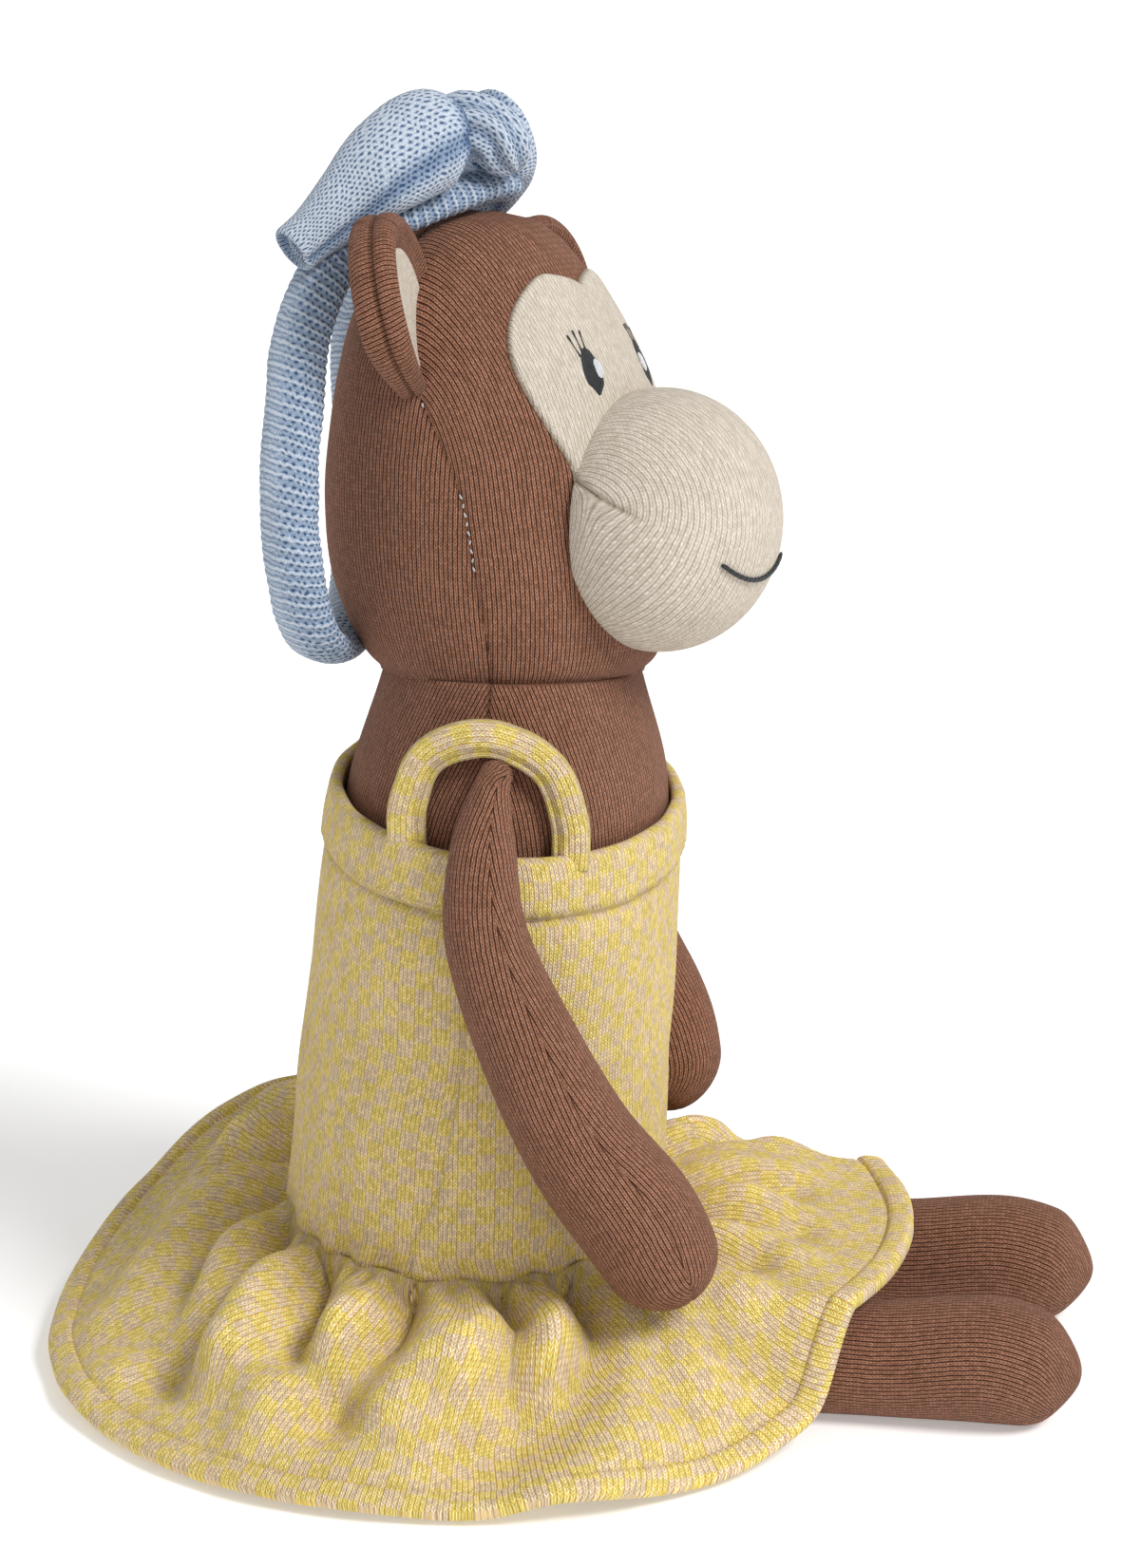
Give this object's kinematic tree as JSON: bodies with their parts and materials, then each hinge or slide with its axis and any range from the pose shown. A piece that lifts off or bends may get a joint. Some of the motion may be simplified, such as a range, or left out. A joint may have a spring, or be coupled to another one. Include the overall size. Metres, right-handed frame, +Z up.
{
  "type": "knitted monkey doll",
  "caption": "Seated knitted monkey doll with long arms, a cream muzzle, a strapped dress with a gathered skirt and a knotted headband.",
  "frame": {"origin": "on the floor under the middle of the seat", "axes": "+Z up, the doll faces -Y, its left side is +X"},
  "size_m": [0.2338, 0.2801, 0.3415],
  "materials": {
    "brown_knit": "matte fine stockinette knit",
    "cream_knit": "matte fine stockinette knit",
    "checked_knit": "matte checked jacquard knit",
    "blue_knit": "matte moss-stitch knit",
    "dark_thread": "embroidery thread",
    "light_thread": "embroidery thread"
  },
  "bodies": {
    "torso": {"torso": "brown_knit", "dress_bodice": "checked_knit", "dress_neck_hem": "checked_knit", "dress_skirt": "checked_knit", "dress_skirt_hem": "checked_knit", "right_strap": "checked_knit", "left_strap": "checked_knit"},
    "head": {"head": "brown_knit", "face_patch": "cream_knit", "muzzle": "cream_knit", "smile": "dark_thread", "right_eye": "dark_thread", "right_eye_highlight": "light_thread", "left_eye": "dark_thread", "left_eye_highlight": "light_thread", "right_ear": "brown_knit", "right_ear_lining": "cream_knit", "left_ear": "brown_knit", "left_ear_lining": "cream_knit"},
    "headband": {"headband": "blue_knit", "bow_knot": "blue_knit", "bow_right_wing": "blue_knit", "bow_left_wing": "blue_knit"},
    "right_arm": {"right_arm": "brown_knit"},
    "left_arm": {"left_arm": "brown_knit"},
    "right_leg": {"right_leg": "brown_knit"},
    "left_leg": {"left_leg": "brown_knit"}
  },
  "joints": [
    {"name": "head_turn", "type": "hinge", "parent": "torso", "child": "head", "pos_m": [0, -0.01, 0.1925], "axis": [0.1736, 0, 0.9848], "range_deg": [-30, 30]},
    {"name": "headband_pull", "type": "slide", "parent": "head", "child": "headband", "axis": [0, 0.8, 0.6], "range_m": [0, 0.1]},
    {"name": "right_shoulder", "type": "hinge", "parent": "torso", "child": "right_arm", "pos_m": [-0.048, -0.013, 0.179], "axis": [-1, 0, 0], "range_deg": [0, 140]},
    {"name": "left_shoulder", "type": "hinge", "parent": "torso", "child": "left_arm", "pos_m": [0.048, -0.013, 0.179], "axis": [-1, 0, 0], "range_deg": [0, 140]},
    {"name": "right_hip", "type": "hinge", "parent": "torso", "child": "right_leg", "pos_m": [-0.033, -0.046, 0.015], "axis": [1, 0, 0], "range_deg": [0, 90]},
    {"name": "left_hip", "type": "hinge", "parent": "torso", "child": "left_leg", "pos_m": [0.033, -0.046, 0.015], "axis": [1, 0, 0], "range_deg": [0, 90]}
  ]
}
